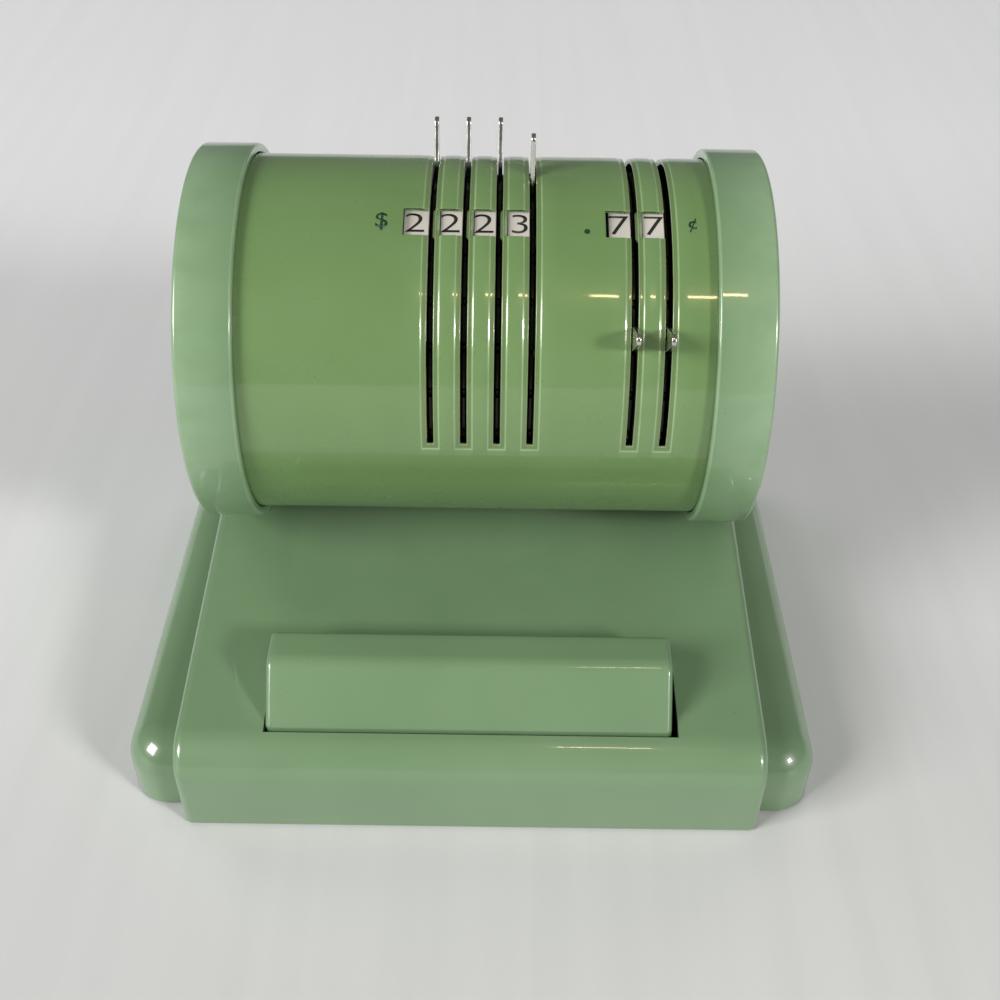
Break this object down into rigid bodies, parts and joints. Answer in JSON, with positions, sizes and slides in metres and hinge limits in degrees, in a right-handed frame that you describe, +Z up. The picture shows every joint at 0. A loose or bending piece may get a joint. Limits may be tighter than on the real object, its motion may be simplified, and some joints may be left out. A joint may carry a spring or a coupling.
{
  "type": "check writer",
  "caption": "Desk machine that prints an amount on a check: levers in a slotted drum set the number wheels, and a palm bar in the sloping base presses the check against the type.",
  "frame": {"origin": "on the table, under the middle of the base", "axes": "+X to the operator's right, +Y to the back, +Z up"},
  "size_m": [0.2092, 0.184, 0.1735],
  "materials": {
    "green_enamel": "baked enamel, satin gloss",
    "drum_enamel": "baked enamel, gloss",
    "dark_sheet": "black japanned sheet",
    "rubber": "matte",
    "zinc_steel": "zinc plated",
    "bright_steel": "ground bright",
    "nickel": "nickel plated",
    "spring_bronze": "rolled strip",
    "type_brass": "machined",
    "wheel_casting": "phosphated",
    "dial_face": "satin off-white with black numbers",
    "spool_enamel": "black",
    "ribbon_cloth": "inked woven ribbon"
  },
  "bodies": {
    "base": {"base_housing": "green_enamel", "bottom_plate": "dark_sheet", "rubber_feet": "rubber", "chassis_screws": "zinc_steel", "left_frame": "zinc_steel", "right_frame": "zinc_steel", "main_shaft": "bright_steel", "shaft_spacers": "bright_steel", "pivot_shaft": "bright_steel", "tie_rods": "bright_steel", "drum_cover": "drum_enamel", "left_end_cap": "green_enamel", "right_end_cap": "green_enamel", "cap_screws": "nickel", "detent_bar": "bright_steel", "detent_springs": "spring_bronze", "prefix_type_block": "type_brass", "middle_type_block": "type_brass", "ribbon": "ribbon_cloth", "spool_pins": "bright_steel", "return_springs": "bright_steel"},
    "wheel_1": {"number_wheel_1": "wheel_casting", "index_lever_1": "nickel", "number_dial_1": "dial_face", "type_ring_1": "type_brass"},
    "wheel_2": {"number_wheel_2": "wheel_casting", "index_lever_2": "nickel", "number_dial_2": "dial_face", "type_ring_2": "type_brass"},
    "wheel_3": {"number_wheel_3": "wheel_casting", "index_lever_3": "nickel", "number_dial_3": "dial_face", "type_ring_3": "type_brass"},
    "wheel_4": {"number_wheel_4": "wheel_casting", "index_lever_4": "nickel", "number_dial_4": "dial_face", "type_ring_4": "type_brass"},
    "wheel_5": {"number_wheel_5": "wheel_casting", "index_lever_5": "nickel", "number_dial_5": "dial_face", "type_ring_5": "type_brass"},
    "wheel_6": {"number_wheel_6": "wheel_casting", "index_lever_6": "nickel", "number_dial_6": "dial_face", "type_ring_6": "type_brass"},
    "press_lever": {"press_bar": "green_enamel", "press_arms": "zinc_steel", "press_bar_screws": "zinc_steel", "platen_bar": "bright_steel", "platen_pad": "rubber"},
    "left_ribbon_spool": {"left_spool": "spool_enamel", "left_ribbon_roll": "ribbon_cloth"},
    "right_ribbon_spool": {"right_spool": "spool_enamel", "right_ribbon_roll": "ribbon_cloth"}
  },
  "joints": [
    {"name": "number_lever_1", "type": "hinge", "parent": "base", "child": "wheel_1", "pos_m": [0, 0.0203, 0.1065], "axis": [1, 0, 0], "range_deg": [-30, 105]},
    {"name": "number_lever_2", "type": "hinge", "parent": "base", "child": "wheel_2", "pos_m": [0, 0.0203, 0.1065], "axis": [1, 0, 0], "range_deg": [-30, 105]},
    {"name": "number_lever_3", "type": "hinge", "parent": "base", "child": "wheel_3", "pos_m": [0, 0.0203, 0.1065], "axis": [1, 0, 0], "range_deg": [-30, 105]},
    {"name": "number_lever_4", "type": "hinge", "parent": "base", "child": "wheel_4", "pos_m": [0, 0.0203, 0.1065], "axis": [1, 0, 0], "range_deg": [-45, 90]},
    {"name": "number_lever_5", "type": "hinge", "parent": "base", "child": "wheel_5", "pos_m": [0, 0.0203, 0.1065], "axis": [1, 0, 0], "range_deg": [-105, 30]},
    {"name": "number_lever_6", "type": "hinge", "parent": "base", "child": "wheel_6", "pos_m": [0, 0.0203, 0.1065], "axis": [1, 0, 0], "range_deg": [-105, 30]},
    {"name": "press_hinge", "type": "hinge", "parent": "base", "child": "press_lever", "pos_m": [0, -0.0197, 0.0205], "axis": [1, 0, 0], "range_deg": [0, 6.5], "stiffness_Nm_per_rad": 3, "springref_deg": -6.88, "deforming": ["return_springs"]},
    {"name": "left_spool_turn", "type": "hinge", "parent": "base", "child": "left_ribbon_spool", "pos_m": [-0.0723, 0.0203, 0.0665], "axis": [0, 1, 0], "continuous": true},
    {"name": "right_spool_turn", "type": "hinge", "parent": "base", "child": "right_ribbon_spool", "pos_m": [0.0723, 0.0203, 0.0665], "axis": [0, 1, 0], "continuous": true}
  ]
}
